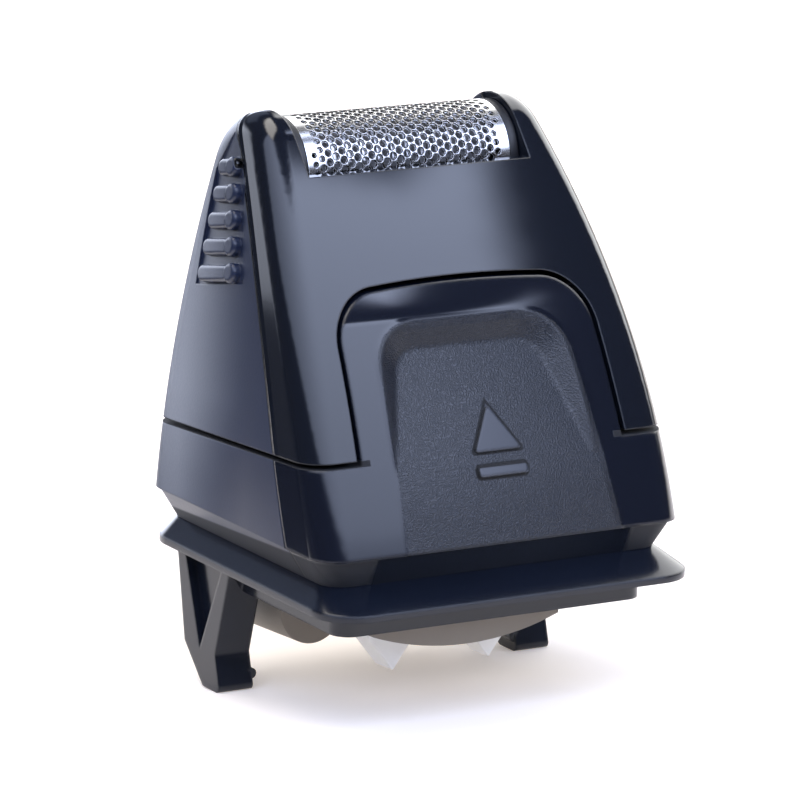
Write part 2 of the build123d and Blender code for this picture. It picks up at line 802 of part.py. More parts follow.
# Cutter carrier: bar with a round crown and two blind bores for the guide pins
pin_bore_depth = beam_z + beam_thickness + guide_pin_height - carrier_bottom_z + float_travel + motion_gap
with BuildPart() as cutter_carrier:
    with BuildSketch(Plane.YZ):
        with Locations((head_axis_y, head_axis_z)):
            Circle(carrier_crown_radius)
            Rectangle(2 * reach, reach, align=(Align.CENTER, Align.MAX), mode=Mode.SUBTRACT)
        with Locations((head_axis_y, carrier_bottom_z)):
            Rectangle(2 * carrier_half_width, head_axis_z - carrier_bottom_z, align=(Align.CENTER, Align.MIN))
    extrude(amount=carrier_half_length, both=True)
    with BuildSketch(Plane.XY.offset(carrier_bottom_z)):
        with Locations((-guide_pin_x, head_axis_y), (guide_pin_x, head_axis_y)):
            Circle(guide_pin_radius + guide_pin_clearance)
    extrude(amount=pin_bore_depth, mode=Mode.SUBTRACT)
cutter_carrier.part.label = "cutter_carrier"

# Cutter blades: thin steel arches on the carrier, one group
blade_step = 2 * (carrier_half_length - blade_thickness) / (blade_count - 1)
with BuildPart() as cutter_blades:
    for index in range(blade_count):
        blade_x = index * blade_step - carrier_half_length + blade_thickness / 2
        with BuildSketch(Plane.YZ.offset(blade_x)):
            with Locations((head_axis_y, head_axis_z)):
                Circle(foil_inner_radius - blade_gap)
                Circle(carrier_crown_radius + blade_seat_gap, mode=Mode.SUBTRACT)
                Rectangle(
                    2 * reach,
                    2 * (foil_inner_radius - blade_gap) * cos(radians(blade_half_angle)),
                    mode=Mode.SUBTRACT,
                )
                Rectangle(2 * reach, reach, align=(Align.CENTER, Align.MAX), mode=Mode.SUBTRACT)
        extrude(amount=blade_thickness)
cutter_blades.part.label = "cutter_blades"

# Cutter springs: coils round the guide pins
spring_base_z = beam_z + beam_thickness + spring_wire
spring_height = carrier_bottom_z - spring_wire - spring_base_z
cutter_springs = []
for name, side in (("left", -1), ("right", 1)):
    with BuildPart() as cutter_spring:
        with BuildLine() as coil:
            Helix(
                spring_height / spring_turns,
                spring_height,
                spring_radius,
                center=(side * guide_pin_x, head_axis_y, spring_base_z),
            )
        with BuildSketch(Plane(coil.line @ 0, z_dir=coil.line % 0)):
            Circle(spring_wire / 2)
        sweep(is_frenet=True)
    cutter_spring.part.label = f"cutter_spring_{name}"
    cutter_springs.append(cutter_spring)

# Shaver foil: thin arch with staggered holes
with BuildPart() as shaver_foil:
    with BuildSketch(Plane.YZ):
        arch_band(foil_radius, foil_inner_radius)
    extrude(amount=foil_half_length, both=True)
    holes_per_row = int((2 * foil_half_length - foil_hole_pitch) / foil_hole_pitch)
    for row in range(foil_hole_rows):
        turn = (row - (foil_hole_rows - 1) / 2) * foil_hole_row_step
        outward = Vector(0, sin(radians(turn)), cos(radians(turn)))
        shift = foil_hole_pitch / 4 * (-1) ** row
        hole_plane = Plane((shift, head_axis_y, head_axis_z), x_dir=(1, 0, 0), z_dir=outward)
        with BuildSketch(hole_plane):
            with GridLocations(foil_hole_pitch, foil_hole_pitch, holes_per_row, 1):
                Circle(foil_hole_diameter / 2)
        extrude(amount=foil_radius + foil_thickness, mode=Mode.SUBTRACT)
shaver_foil.part.label = "shaver_foil"

# Foil frame: two rails under the foil's lower edges, joined by a closed arch at each end
rail_top_z = head_axis_z - foil_flank - foil_seat_gap
frame_end = window_half_length - frame_seat_gap
end_start = foil_half_length + frame_end_gap
with BuildPart() as foil_frame:
    for side in (-1, 1):
        with Locations((0, head_axis_y + side * foil_inner_radius, rail_top_z)):
            Box(
                2 * frame_end,
                frame_rail_width,
                frame_rail_height,
                align=(Align.CENTER, Align.MIN if side > 0 else Align.MAX, Align.MAX),
            )
        with BuildSketch(Plane.YZ.offset(side * end_start)):
            with Locations((head_axis_y, head_axis_z)):
                Circle(foil_radius)
                Rectangle(
                    2 * foil_radius,
                    head_axis_z - rail_top_z + frame_rail_height,
                    align=(Align.CENTER, Align.MAX),
                )
        extrude(amount=side * (frame_end - end_start))
foil_frame.part.label = "foil_frame"

# Foil clamps: strips that hold the foil's flanks on the rails
foil_clamps = []
for name, side in (("front", -1), ("rear", 1)):
    with BuildPart() as foil_clamp:
        with Locations((0, head_axis_y + side * (foil_radius + foil_seat_gap), head_axis_z - foil_flank)):
            Box(
                2 * foil_half_length,
                clamp_thickness,
                clamp_height,
                align=(Align.CENTER, Align.MIN if side > 0 else Align.MAX, Align.MIN),
            )
    foil_clamp.part.label = f"foil_clamp_{name}"
    foil_clamps.append(foil_clamp)

os.makedirs("parts", exist_ok=True)
pieces = [
    foil_cap,
    shaver_foil,
    foil_frame,
    *foil_clamps,
    front_panel,
    base_shell,
    coupling_frame,
    chassis,
    chassis_screws,
    *guide_rods,
    *rod_keepers,
    deck_plate,
    hair_seal,
    drive_slider,
    cutter_carrier,
    cutter_blades,
    *cutter_springs,
]
for piece in pieces:
    export_step(piece.part, f"parts/{piece.part.label}.step")
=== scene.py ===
"""Looks of the shaver foil head: finishes, perforated foil, cutter springs and a white studio."""

import json
import logging
import math
from abc import ABC, abstractmethod
from dataclasses import dataclass
from enum import Enum
from typing import Any, Iterable

import bpy
import numpy as np
from bpy.types import ID, Material, Node, NodeSocket, NodeTree, Object
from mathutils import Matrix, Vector
from mathutils.geometry import delaunay_2d_cdt


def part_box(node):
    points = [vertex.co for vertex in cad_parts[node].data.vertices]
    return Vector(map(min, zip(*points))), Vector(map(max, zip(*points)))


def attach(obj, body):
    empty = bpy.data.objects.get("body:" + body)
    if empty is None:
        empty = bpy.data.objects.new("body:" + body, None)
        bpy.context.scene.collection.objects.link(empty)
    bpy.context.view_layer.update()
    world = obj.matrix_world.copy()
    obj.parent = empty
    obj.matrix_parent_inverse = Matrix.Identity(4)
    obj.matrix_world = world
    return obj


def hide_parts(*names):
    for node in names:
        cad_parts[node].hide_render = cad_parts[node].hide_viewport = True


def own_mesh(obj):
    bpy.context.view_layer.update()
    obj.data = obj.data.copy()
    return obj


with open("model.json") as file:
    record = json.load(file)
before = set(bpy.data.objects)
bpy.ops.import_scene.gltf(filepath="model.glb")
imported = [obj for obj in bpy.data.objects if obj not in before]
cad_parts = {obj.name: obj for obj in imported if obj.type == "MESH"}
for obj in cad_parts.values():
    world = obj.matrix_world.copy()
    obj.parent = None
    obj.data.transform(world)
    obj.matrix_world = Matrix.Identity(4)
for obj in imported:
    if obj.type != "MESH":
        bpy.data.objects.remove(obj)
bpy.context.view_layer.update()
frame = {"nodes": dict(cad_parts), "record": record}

Colour = tuple[float, float, float, float]

LOG = logging.getLogger("foil_head")
MM = 0.001
# Refractive index of ABS.
ABS_IOR = 1.53
# Point in the middle of the picture, in millimetres.
VIEW_CENTRE = (-1.79, -0.5, 15.74)


class Body(Enum):
    """Bodies of the part that new pieces ride with."""

    CAP = "cap"
    SLIDER = "slider"


class Slot(Enum):
    """Material slots of the record that finishes here take."""

    GLOSS_NAVY = "gloss_navy"
    FRAME_NAVY = "frame_navy"
    FOIL_STEEL = "foil_steel"
    STRIP_STEEL = "strip_steel"
    ROD_STEEL = "rod_steel"
    FRAME_BLACK = "frame_black"
    HOUSING_IVORY = "housing_ivory"
    SLIDE_WHITE = "slide_white"
    SEAL_GREY = "seal_grey"
    CARRIER_GREY = "carrier_grey"


def linear(hex_colour: str) -> Colour:
    """Turns an sRGB hex colour into linear RGBA.

    Args:
        hex_colour: Colour such as "#1b2030".

    Returns:
        Linear red, green, blue and an alpha of one.
    """
    parts = [int(hex_colour[i : i + 2], 16) / 255 for i in (1, 3, 5)]
    red, green, blue = (p / 12.92 if p <= 0.04045 else ((p + 0.055) / 1.055) ** 2.4 for p in parts)
    return red, green, blue, 1.0


def heading(azimuth: float, elevation: float) -> Vector:
    """Gives the direction from the part to a viewer.

    Args:
        azimuth: Degrees around the part; 0 is in front.
        elevation: Degrees above the floor.

    Returns:
        A unit vector.
    """
    a, e = math.radians(azimuth), math.radians(elevation)
    return Vector((math.sin(a) * math.cos(e), -math.cos(a) * math.cos(e), math.sin(e)))


def add_node(
    tree: NodeTree,
    kind: str,
    inputs: dict[str | int, Any] | None = None,
    **settings: Any,
) -> Node:
    """Adds a shader node with its settings, values and links.

    Args:
        tree: Node tree that takes the node.
        kind: Blender's node type name.
        inputs: Value or socket for each input, by name or index.
        **settings: Properties of the node.

    Returns:
        The new node.
    """
    node = tree.nodes.new(kind)
    for name, value in settings.items():
        setattr(node, name, value)
    for key, value in (inputs or {}).items():
        value = value.socket if isinstance(value, Field) else value
        if isinstance(value, NodeSocket):
            tree.links.new(value, node.inputs[key])
        else:
            node.inputs[key].default_value = value
    return node


def blank_material(name: str) -> Material:
    """Makes a material with an empty node tree.

    Args:
        name: Name of the material.

    Returns:
        The new material.
    """
    made = bpy.data.materials.new(name)
    made.use_nodes = True
    made.node_tree.nodes.clear()
    return made


def place(name: str, data: ID) -> Object:
    """Puts a mesh or camera into the scene.

    Args:
        name: Name of the object.
        data: The mesh or camera.

    Returns:
        The new object.
    """
    made = bpy.data.objects.new(name, data)
    bpy.context.scene.collection.objects.link(made)
    return made


@dataclass(frozen=True)
class Field:
    """A number that the shader works out at each point, with plain arithmetic."""

    tree: NodeTree
    socket: NodeSocket

    def math(self, operation: str, *others: "Field | float") -> "Field":
        """Applies one arithmetic operation.

        Args:
            operation: Name of the operation, such as "MAXIMUM".
            *others: Further operands.

        Returns:
            The result as a field.
        """
        operands = dict(enumerate((self, *others)))
        node = add_node(self.tree, "ShaderNodeMath", operands, operation=operation)
        return Field(self.tree, node.outputs[0])

    def __add__(self, other: "Field | float") -> "Field":
        """Returns the sum with another field or number."""
        return self.math("ADD", other)

    def __sub__(self, other: "Field | float") -> "Field":
        """Returns the difference from another field or number."""
        return self.math("SUBTRACT", other)

    def __mul__(self, other: "Field | float") -> "Field":
        """Returns the product with another field or number."""
        return self.math("MULTIPLY", other)

    def band(self, low: float, high: float) -> "Field":
        """Rises smoothly from 0 at one value to 1 at another.

        Args:
            low: Value that gives 0.
            high: Value that gives 1; it may be the smaller one.

        Returns:
            A field from 0 to 1.
        """
        flip = high < low
        ends = {"From Min": min(low, high), "From Max": max(low, high)}
        ends |= {"To Min": 1.0 if flip else 0.0, "To Max": 0.0 if flip else 1.0}
        node = add_node(
            self.tree, "ShaderNodeMapRange", {0: self, **ends}, interpolation_type="SMOOTHSTEP"
        )
        return Field(self.tree, node.outputs[0])

    def between(self, low: "Field | float", high: "Field | float") -> "Field":
        """Mixes two numbers by this field.

        Args:
            low: Number where this field is 0.
            high: Number where it is 1.

        Returns:
            The mixed number.
        """
        node = add_node(self.tree, "ShaderNodeMix", {0: self, 2: low, 3: high}, data_type="FLOAT")
        return Field(self.tree, node.outputs[0])

    def colours(self, low: Colour | NodeSocket, high: Colour | NodeSocket) -> NodeSocket:
        """Mixes two colours by this field.

        Args:
            low: Colour or socket where this field is 0.
            high: Colour or socket where it is 1.

        Returns:
            The mixed colour's socket.
        """
        node = add_node(self.tree, "ShaderNodeMix", {0: self, 6: low, 7: high}, data_type="RGBA")
        return node.outputs[2]


@dataclass(frozen=True)
class Coordinates:
    """Place of the shaded point in the part's frame, in millimetres."""

    tree: NodeTree
    vector: NodeSocket
    x: Field
    y: Field
    z: Field

    @classmethod
    def of(cls, tree: NodeTree) -> "Coordinates":
        """Reads the object's own coordinates.

        Args:
            tree: Node tree of the material.

        Returns:
            The coordinates as fields.
        """
        source = add_node(tree, "ShaderNodeTexCoord").outputs["Object"]
        scale = {0: source, 1: (1 / MM,) * 3}
        scaled = add_node(tree, "ShaderNodeVectorMath", scale, operation="MULTIPLY").outputs[0]
        parts = add_node(tree, "ShaderNodeSeparateXYZ", {0: scaled}).outputs
        return cls(tree, scaled, *(Field(tree, p) for p in parts))

    def noise(self, pitch: float, detail: float = 2.0) -> Field:
        """Gives a fine random field.

        Args:
            pitch: Size of one grain in millimetres.
            detail: Octaves of finer grain.

        Returns:
            A field around one half.
        """
        inputs = {"Vector": self.vector, "Scale": 1 / pitch, "Detail": detail}
        return Field(self.tree, add_node(self.tree, "ShaderNodeTexNoise", inputs).outputs[0])


@dataclass(frozen=True)
class CasingForm:
    """Outline of the casing in millimetres, for finishes that end along it."""

    front_reach: float = 15.9
    foot_z: float = 5.4
    head_axis_y: float = 5.5
    head_axis_z: float = 36.3
    ear_radius: float = 5.45
    front_lean: float = math.radians(38)
    parting_z: float = 13.4
    seam_setback: float = 6.4
    seam_taper: float = 0.06
    crown_radius: float = 125.0
    wave_pitch: float = 9.0
    wave_depth: float = 0.012
    ledge_band: tuple[float, float] = (0.3, 0.22)
    skirt_top: float = 0.1
    skirt_full: float = 0.2
    skirt_blend: float = 1.0

    def crown(self, at: Coordinates) -> Field:
        """Gives the slight crown and waviness of a polished face, which bend the lights' edges.

        Args:
            at: Place of the shaded point.

        Returns:
            Height in millimetres.
        """
        return at.x * at.x * (-1 / (2 * self.crown_radius)) + at.noise(self.wave_pitch) * self.wave_depth

    def ledge(self, z: Field) -> Field:
        """Finds the narrow faces in the parting gap, which are made rough and painted dark as the gap's
        shade.

        Args:
            z: Height.

        Returns:
            A field that is 1 in the gap.
        """
        return (z - self.parting_z).math("ABSOLUTE").band(*self.ledge_band)

    def skirt(self, at: Coordinates, half: float) -> Field:
        """Finds the sides of the undercut skirt below the foot, which are left matt.

        Args:
            at: Place of the shaded point.
            half: Half width where the sides start.

        Returns:
            A field that is 1 on the skirt's sides.
        """
        below = at.z.band(self.foot_z + self.skirt_top, self.foot_z - self.skirt_full)
        return below * at.x.math("ABSOLUTE").band(half, half + self.skirt_blend)

    def seam(self, z: Field) -> Field:
        """Works out where the side's finish ends at a height.

        Args:
            z: Height.

        Returns:
            Y of the line in millimetres.
        """
        above = (z - self.parting_z).math("MAXIMUM", 0.0)
        return self.front(z) + self.seam_setback - above * self.seam_taper

    def front(self, z: Field) -> Field:
        """Works out the front face's Y at a height.

        Args:
            z: Height.

        Returns:
            Y of the front face in millimetres.
        """
        c, s = math.cos(self.front_lean), math.sin(self.front_lean)
        top_y = self.head_axis_y - self.ear_radius * c
        top_z = self.head_axis_z + self.ear_radius * s
        run_y, run_z = -self.front_reach - top_y, self.foot_z - top_z
        radius = (run_y**2 + run_z**2) / (2 * (run_y * c - run_z * s))
        rise = z - (top_z - radius * s)
        return (rise * rise * -1.0 + radius**2).math("SQRT") * -1.0 + (top_y + radius * c)


@dataclass(frozen=True)
class Finish(ABC):
    """A surface finish that makes its own material."""

    name: str
    slot: Slot

    def material(self) -> Material:
        """Makes the material.

        Returns:
            The new material.
        """
        made = blank_material(self.name)
        tree = made.node_tree
        surface = self.shade(tree, Coordinates.of(tree))
        add_node(tree, "ShaderNodeOutputMaterial", {"Surface": surface.outputs[0]})
        LOG.info("finish %s", self.name)
        return made

    @abstractmethod
    def shade(self, tree: NodeTree, at: Coordinates) -> Node:
        """Builds the surface shader.

        Args:
            tree: Node tree of the material.
            at: Place of the shaded point.

        Returns:
            The shader node.
        """


def relief(tree: NodeTree, height: Field, depth: float, edge: float = 0.2) -> NodeSocket:
    """Turns a height field into a bent normal, with the part's edges slightly rounded.

    Args:
        tree: Node tree of the material.
        height: Height in units of the depth.
        depth: One unit of height in millimetres.
        edge: Radius that the edges show, in millimetres.

    Returns:
        The normal's socket.
    """
    rounded = add_node(tree, "ShaderNodeBevel", {"Radius": edge * MM}, samples=4).outputs[0]
    inputs = {"Strength": 1.0, "Distance": depth * MM, "Height": height, "Normal": rounded}
    return add_node(tree, "ShaderNodeBump", inputs).outputs[0]


@dataclass(frozen=True)
class Moulding(Finish):
    """Moulded plastic or rubber with the even surface of its tool."""

    colour: str
    tint: str
    roughness: float
    spread: float = 0.06
    grain: float = 0.3
    depth: float = 0.005
    ior: float = ABS_IOR
    glow: float = 0.0
    edge: float = 0.2
    patch: float = 6.0
    glow_reach: float = 1.5

    def shade(self, tree: NodeTree, at: Coordinates) -> Node:
        """Builds an even moulded surface with fine grain.

        Args:
            tree: Node tree of the material.
            at: Place of the shaded point.

        Returns:
            The shader node.
        """
        patch = at.noise(self.patch)
        grain = at.noise(self.grain)
        inputs = {
            "Base Color": patch.colours(linear(self.colour), linear(self.tint)),
            "Roughness": grain.between(self.roughness - self.spread, self.roughness + self.spread),
            "IOR": self.ior,
            "Subsurface Weight": self.glow,
            "Subsurface Radius": (1.0, 1.0, 1.0),
            "Subsurface Scale": self.glow_reach * MM,
            "Normal": relief(tree, grain, self.depth, self.edge),
        }
        return add_node(tree, "ShaderNodeBsdfPrincipled", inputs)


@dataclass(frozen=True)
class TwoFinishShell(Finish):
    """Navy shell: polished front, satin sides, and the fine line where the tool's inserts meet, with
    painted shade along that line and in the parting gap.
    """

    form: CasingForm
    gloss: str = "#11151e"
    satin: str = "#20283e"
    # Near-black painted shade for the seam's line and the parting gap's faces.
    painted_shade: str = "#05070c"
    gloss_roughness: float = 0.1
    satin_roughness: float = 0.3
    satin_roughest: float = 0.38
    satin_grain: float = 0.22
    satin_depth: float = 0.006
    side_band: tuple[float, float] = (-0.04, 0.04)
    line_band: tuple[float, float] = (0.22, 0.12)
    groove_roughness: float = 0.8
    groove_depth: float = 0.08
    skirt_roughness: float = 0.7
    skirt_half: float = 12.6
    bulge_y: float = -2.0
    bulge_radius: float = 70.0
    turn_reach: float = 12.0
    rear_turn: float = 0.022
    droop_z: float = 17.0
    droop: float = 0.013
    cap_stripe: float = 0.9
    base_stripe: float = 3.8
    stripe_slope: float = 0.16
    stripe_blend: float = 0.2

    def shade(self, tree: NodeTree, at: Coordinates) -> Node:
        """Builds polished front and satin sides from the point's place.

        Args:
            tree: Node tree of the material.
            at: Place of the shaded point.

        Returns:
            The shader node.
        """
        behind = at.y - self.form.seam(at.z)
        side = behind.band(*self.side_band)
        # Painted shade: the line along the seam and the faces in the parting gap are coloured near-black.
        line = behind.math("ABSOLUTE").band(*self.line_band)
        ledge = self.form.ledge(at.z)
        skirt = self.form.skirt(at, self.skirt_half)
        grain = at.noise(self.satin_grain)
        colour = side.colours(linear(self.gloss), linear(self.satin))
        colour = skirt.colours(colour, linear(self.gloss))
        satin = grain.between(self.satin_roughness, self.satin_roughest)
        rough = skirt.between(side.between(self.gloss_roughness, satin), self.skirt_roughness)
        inputs = {
            "Base Color": line.math("MAXIMUM", ledge).colours(colour, linear(self.painted_shade)),
            "Roughness": ledge.between(rough, self.groove_roughness),
            "IOR": ABS_IOR,
            "Normal": self.turned(tree, at, side, self.height(at, behind, side, line, grain)),
        }
        return add_node(tree, "ShaderNodeBsdfPrincipled", inputs)

    def height(self, at: Coordinates, behind: Field, side: Field, line: Field, grain: Field) -> Field:
        """Adds up the shell's slight forms.

        Args:
            at: Place of the shaded point.
            behind: Distance behind the line between the finishes.
            side: 1 on the satin sides.
            line: 1 in the fine line.
            grain: Grain of the satin.

        Returns:
            Height in millimetres.
        """
        # The satin sides bulge a little, so they brighten towards the rear.
        off = at.y - self.bulge_y
        bulge = off * off * side * (-1 / (2 * self.bulge_radius))
        # Beside the seam the polish turns slightly to the front, and a dark stripe follows the line.
        below = (at.z - self.form.parting_z).band(self.stripe_blend, -self.stripe_blend)
        width = below.between(self.cap_stripe, self.base_stripe)
        stripe = (behind + width).math("MAXIMUM", 0.0) * (side * -1.0 + 1.0) * self.stripe_slope
        fine = grain * side * self.satin_depth - line * self.groove_depth
        return self.form.crown(at) + bulge + stripe + fine

    def turned(self, tree: NodeTree, at: Coordinates, side: Field, height: Field) -> NodeSocket:
        """Turns the satin sides up, to the light, towards the rear and down towards the head.

        Args:
            tree: Node tree of the material.
            at: Place of the shaded point.
            side: 1 on the satin sides.
            height: Height of the shell's slight forms.

        Returns:
            The normal's socket.
        """
        back = (at.y - self.bulge_y).math("MAXIMUM", 0.0).math("MINIMUM", self.turn_reach)
        turn = back * self.rear_turn - (at.z - self.droop_z).math("MAXIMUM", 0.0) * self.droop
        upward = add_node(tree, "ShaderNodeCombineXYZ", {2: turn * side}).outputs[0]
        leaning = {0: relief(tree, height, 1.0), 1: upward}
        leaned = add_node(tree, "ShaderNodeVectorMath", leaning, operation="ADD").outputs[0]
        return add_node(tree, "ShaderNodeVectorMath", {0: leaned}, operation="NORMALIZE").outputs[0]


@dataclass(frozen=True)
class PadPanel(Finish):
    """Polished navy panel with a spark-eroded thumb pad and a smooth raised mark."""

    form: CasingForm
    half_top: float = 9.6
    half_foot: float = 10.9
    top_z: float = 24.2
    foot_z: float = 6.4
    foot_shift: float = 0.8
    corner: float = 3.4
    wall_rounding: float = 0.45
    tongue_half: float = 12.6
    gloss: str = "#10141f"
    raised: str = "#1a1f2b"
    pit: str = "#0f131c"
    peak: str = "#161b26"
    # Near-black painted shade round the raised mark's edge and in the parting gap.
    painted_shade: str = "#07090f"
    gloss_roughness: float = 0.1
    mark_roughness: float = 0.3
    pit_roughness: float = 0.38
    peak_roughness: float = 0.28
    groove_roughness: float = 0.8
    skirt_roughness: float = 0.7
    grain: float = 0.14
    grain_detail: float = 1.0
    grain_depth: float = 0.022
    grain_edge: tuple[float, float] = (0.25, -0.05)
    pit_band: tuple[float, float] = (0.36, 0.64)
    ledge_blend: float = 0.2
    shoulder_z: float = 24.4
    shoulder_slope: float = 0.36
    shoulder_start: float = 0.6
    crease_z: float = 12.0
    crease_reach: float = 4.0
    crease_slope: float = 0.166
    crease_band: tuple[float, float] = (0.6, -0.6)
    flank_start: float = 2.4
    flank_slope: float = 0.2
    flank_blend: float = 0.6
    flank_foot: float = -0.2
    flank_full: float = 0.3
    mark_x: float = 0.53
    mark_z: float = 13.1
    mark_half: float = 2.55
    mark_rise: float = 4.06
    bar_top: float = 12.04
    bar_foot: float = 11.03
    mark_corner: float = 0.3
    # Cosine that turns a reach across the mark's slant into a distance from it.
    mark_lean: float = 0.84
    mark_band: tuple[float, float] = (0.06, -0.06)
    outline_out: float = 0.04
    outline_band: tuple[float, float] = (0.2, 0.08)

    def mark(self, at: Coordinates) -> Field:
        """Works out the distance from the raised mark's outline.

        Args:
            at: Place of the shaded point.

        Returns:
            Distance in millimetres, negative on the mark.
        """
        across = (at.x - self.mark_x).math("ABSOLUTE")
        up = at.z - self.mark_z
        slant = (across + up * (self.mark_half / self.mark_rise) - self.mark_half) * self.mark_lean
        triangle = self.corner_of(slant, up * -1.0)
        middle = (self.bar_top + self.bar_foot) / 2
        off_bar = (at.z - middle).math("ABSOLUTE") - (self.bar_top - middle)
        return triangle.math("MINIMUM", self.corner_of(off_bar, across - self.mark_half))

    def corner_of(self, one: Field, other: Field) -> Field:
        """Joins the distances from two edges round a small corner.

        Args:
            one: Distance from the first edge.
            other: Distance from the second edge.

        Returns:
            Distance from the rounded outline.
        """
        one, other = one + self.mark_corner, other + self.mark_corner
        out_one, out_other = one.math("MAXIMUM", 0.0), other.math("MAXIMUM", 0.0)
        inside = one.math("MAXIMUM", other).math("MINIMUM", 0.0)
        return (out_one * out_one + out_other * out_other).math("SQRT") + inside - self.mark_corner

    def pad(self, at: Coordinates) -> Field:
        """Works out the distance from the pad's outline.

        Args:
            at: Place of the shaded point.

        Returns:
            Distance in millimetres, negative inside.
        """
        slope = (self.half_top - self.half_foot) / (self.top_z - self.foot_z)
        half = (at.z - self.foot_z) * slope + self.half_foot
        shift = (at.z - self.top_z) * (-self.foot_shift / (self.top_z - self.foot_z))
        across = (at.x - shift).math("ABSOLUTE") - half + self.corner
        up = at.z - (self.top_z - self.corner)
        out_x, out_z = across.math("MAXIMUM", 0.0), up.math("MAXIMUM", 0.0)
        inside = across.math("MAXIMUM", up).math("MINIMUM", 0.0)
        return (out_x * out_x + out_z * out_z).math("SQRT") + inside - self.corner

    def shade(self, tree: NodeTree, at: Coordinates) -> Node:
        """Builds the grained pad inside its outline and polish around it.

        Args:
            tree: Node tree of the material.
            at: Place of the shaded point.

        Returns:
            The shader node.
        """
        from_mark = self.mark(at)
        marked = from_mark.band(*self.mark_band)
        # A thin ring round the raised mark gets painted shade along its edge.
        outline = (from_mark - self.outline_out).math("ABSOLUTE").band(*self.outline_band)
        from_pad = self.pad(at)
        grained = from_pad.band(*self.grain_edge) * (marked * -1.0 + 1.0)
        pits = at.noise(self.grain, self.grain_detail).band(*self.pit_band)
        flanks = at.x.math("ABSOLUTE")
        # The parting gap's faces beside the tongue get painted shade too.
        ledge = self.form.ledge(at.z) * flanks.band(self.tongue_half - self.ledge_blend, self.tongue_half)
        dark = outline.math("MAXIMUM", ledge)
        pad_colour = pits.colours(linear(self.pit), linear(self.peak))
        smooth_colour = marked.colours(linear(self.gloss), linear(self.raised))
        smooth = marked.between(self.gloss_roughness, self.mark_roughness)
        rough = grained.between(smooth, pits.between(self.pit_roughness, self.peak_roughness))
        rough = self.form.skirt(at, self.tongue_half).between(rough, self.skirt_roughness)
        within = from_pad.band(*self.crease_band)
        height = self.height(at, flanks, within) + pits * grained * self.grain_depth
        inputs = {
            "Base Color": dark.colours(grained.colours(smooth_colour, pad_colour), linear(self.painted_shade)),
            "Roughness": dark.between(rough, self.groove_roughness),
            "IOR": ABS_IOR,
            "Normal": relief(tree, height, 1.0, self.wall_rounding),
        }
        return add_node(tree, "ShaderNodeBsdfPrincipled", inputs)

    def height(self, at: Coordinates, flanks: Field, within: Field) -> Field:
        """Adds up the panel's slight forms.

        Args:
            at: Place of the shaded point.
            flanks: Distance from the middle plane.
            within: 1 inside the pad.

        Returns:
            Height in millimetres.
        """
        # Above the pad the panel's shoulder leans back, so it mirrors the dark between the lights.
        rise = (at.z - self.shoulder_z).math("MAXIMUM", 0.0)
        eased = (rise * rise + self.shoulder_start**2).math("SQRT") - self.shoulder_start
        shoulder = eased * -self.shoulder_slope
        # The recess runs out softly at its foot.
        off = ((at.z - self.crease_z) * (1 / self.crease_reach)).math("ABSOLUTE").math("MINIMUM", 1.0)
        soft = (off - off * off * 0.5) * (0.5 * self.crease_slope * self.crease_reach)
        # Round the corners the polish keeps turning to the front, so the flanks stay dark.
        flank = (at.y - self.form.front(at.z) - self.flank_start).math("MAXIMUM", 0.0) * self.flank_slope
        flank = flank * flanks.band(self.tongue_half, self.tongue_half + self.flank_blend)
        foot_z = self.form.foot_z
        flank = flank * at.z.band(foot_z + self.flank_foot, foot_z + self.flank_full)
        return self.form.crown(at) + shoulder + flank + soft * within


@dataclass(frozen=True)
class Steel(Finish):
    """Bare steel with marks drawn along one axis."""

    colour: str
    roughness: float
    spread: float
    stretch: tuple[float, float, float]
    depth: float = 0.002
    detail: float = 3.0
    dimmest: float = 0.82

    def shade(self, tree: NodeTree, at: Coordinates) -> Node:
        """Builds metal with fine drawn marks.

        Args:
            tree: Node tree of the material.
            at: Place of the shaded point.

        Returns:
            The shader node.
        """
        scaled = add_node(tree, "ShaderNodeMapping", {0: at.vector, 3: self.stretch}).outputs[0]
        inputs = {"Vector": scaled, "Scale": 1.0, "Detail": self.detail}
        marks = Field(tree, add_node(tree, "ShaderNodeTexNoise", inputs).outputs[0])
        base = linear(self.colour)
        dim = tuple(self.dimmest * c for c in base[:3]) + (1.0,)
        shader = {
            "Base Color": marks.colours(dim, base),
            "Metallic": 1.0,
            "Roughness": marks.between(self.roughness - self.spread, self.roughness + self.spread),
            "Normal": relief(tree, marks, self.depth),
        }
        return add_node(tree, "ShaderNodeBsdfPrincipled", shader)


def dress(nodes: Iterable[str], finish: Finish) -> None:
    """Gives CAD nodes one finish.

    Args:
        nodes: Names of the nodes.
        finish: Finish that they take.
    """
    made = finish.material()
    for name in nodes:
        mesh = frame["nodes"][name].data
        mesh.materials.clear()
        mesh.materials.append(made)
        LOG.info("piece %s takes %s", name, finish.name)


